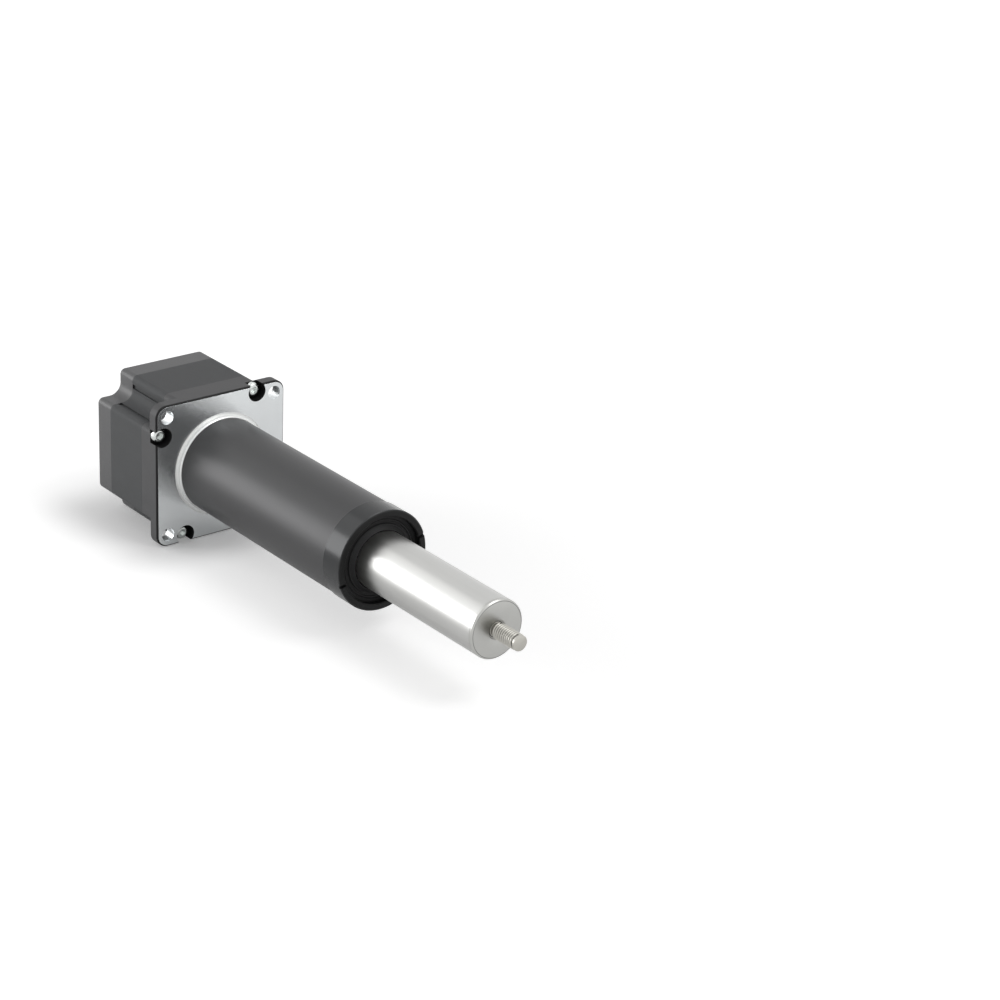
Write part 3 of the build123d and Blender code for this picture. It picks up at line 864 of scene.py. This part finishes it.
class ACTUATOR_OT_stage(bpy.types.Operator):
    """Pale floor, soft lamps and the camera"""

    bl_idname = "actuator.stage"
    bl_label = "Studio"

    def execute(self, context):
        scene = context.scene
        scene.view_settings.view_transform = "Standard"
        floor = bpy.data.meshes.new("floor")
        shape = bmesh.new()
        bmesh.ops.create_grid(shape, x_segments=1, y_segments=1, size=6.0)
        bmesh.ops.translate(shape, vec=(0, 0, cad_box[0][2]), verts=shape.verts[:])
        shape.to_mesh(floor)
        shape.free()
        ground = bpy.data.objects.new("floor", floor)
        scene.collection.objects.link(ground)
        pale = Paint("pale_floor", specular=0.0)
        pale.shader.inputs["Base Color"].default_value = (0.9, 0.9, 0.9, 1)
        pale.shader.inputs["Roughness"].default_value = 0.9
        pale.shader.inputs["Emission Strength"].default_value = 1.0
        far = ((pale.x - 60) * (pale.x - 60) + pale.y * pale.y) ** 0.5
        near = Level(pale, seen_share(pale.tree, ["Is Camera Ray"])) * 0.22 + 0.25
        glow = far.rise(100, 500, near, 0.8) * Level(pale, seen_share(pale.tree))
        # Painted contact shadow: the floor's glow dims to 0.4 at the motor's footprint and is full again 28
        # mm from it.
        shadow_reach_along = (abs(pale.x + 21) - 21).highest(0)
        shadow_reach_across = (abs(pale.y) - 28).highest(0)
        glow = glow * ((shadow_reach_along * shadow_reach_along + shadow_reach_across * shadow_reach_across) ** 0.5).rise(0, 28, 0.4, 1.0)
        pale.feed(emission_color=pale.blend((0, 0, 0), (1, 1, 1), glow))
        floor.materials.append(pale.material)

        world = bpy.data.worlds.new("studio")
        world.use_nodes = True
        scene.world = world
        tree = world.node_tree
        back = next(n for n in tree.nodes if n.type == "BACKGROUND")
        back.inputs["Color"].default_value = (1, 1, 1, 1)
        level = tree.nodes.new("ShaderNodeMapRange")
        level.inputs["To Min"].default_value = 0.34
        level.inputs["To Max"].default_value = 1.0
        tree.links.new(seen_share(tree), level.inputs["Value"])
        tree.links.new(level.outputs["Result"], back.inputs["Strength"])

        middle = (0.05, 0, 0)
        softbox("left_box", (-0.64, -0.64, 0.22), middle, (0.6, 0.5), 4.3)
        softbox("rear_box", (-0.60, -0.28, 0.58), middle, (0.5, 0.4), 0.45)
        softbox("top_box", (0.60, 0.35, 0.90), middle, (0.5, 0.5), 3.0)

        sensor, focal_pixels, photo_pixels = 36.0, 2770.48, 1000
        stand_at = (0.8035266, -0.5247082, 0.4110106)
        lens = bpy.data.cameras.new("photo_camera")
        lens.sensor_width = sensor
        lens.lens = sensor * focal_pixels / photo_pixels
        camera = bpy.data.objects.new("photo_camera", lens)
        side, lift, roll = 0.8826763, 0.4154585, 0.0456409
        toward = Vector((math.sin(side) * math.cos(lift), -math.cos(side) * math.cos(lift), math.sin(lift)))
        right = Vector((math.cos(side), math.sin(side), 0))
        up = toward.cross(right)
        turned_right = right * math.cos(roll) + up * math.sin(roll)
        turned_up = up * math.cos(roll) - right * math.sin(roll)
        axes = Matrix((turned_right, turned_up, toward)).transposed()
        camera.matrix_world = Matrix.Translation(stand_at) @ axes.to_4x4()
        scene.collection.objects.link(camera)
        scene.camera = camera
        return {"FINISHED"}


class ACTUATOR_PT_panel(bpy.types.Panel):
    """Lists the actuator's steps, sizes and finishes."""

    bl_idname = "ACTUATOR_PT_panel"
    bl_label = "Lead-screw actuator"
    bl_space_type = "VIEW_3D"
    bl_region_type = "UI"
    bl_category = "Actuator"

    def draw(self, context):
        for step in STEPS:
            self.layout.operator(step.bl_idname)
        for group in (context.scene.actuator_sizes, context.scene.actuator_finishes):
            column = self.layout.column()
            for key in group.__annotations__:
                column.prop(group, key)


STEPS = (
    ACTUATOR_OT_stage,
    ACTUATOR_OT_housing,
    ACTUATOR_OT_tie_screws,
    ACTUATOR_OT_cover,
    ACTUATOR_OT_rod,
    ACTUATOR_OT_connector,
    ACTUATOR_OT_motor_works,
    ACTUATOR_OT_drive,
)
CLASSES = (ActuatorSizes, ActuatorFinishes, *STEPS, ACTUATOR_PT_panel)


def register():
    for made in CLASSES:
        bpy.utils.register_class(made)
    bpy.types.Scene.actuator_sizes = bpy.props.PointerProperty(type=ActuatorSizes)
    bpy.types.Scene.actuator_finishes = bpy.props.PointerProperty(type=ActuatorFinishes)


def unregister():
    del bpy.types.Scene.actuator_finishes
    del bpy.types.Scene.actuator_sizes
    for made in reversed(CLASSES):
        bpy.utils.unregister_class(made)


def main():
    register()
    bpy.ops.actuator.stage()
    bpy.ops.actuator.housing()
    bpy.ops.actuator.tie_screws()
    bpy.ops.actuator.cover()
    bpy.ops.actuator.rod()
    bpy.ops.actuator.connector()
    bpy.ops.actuator.motor_works()
    bpy.ops.actuator.drive()


if __name__ == "__main__":
    main()
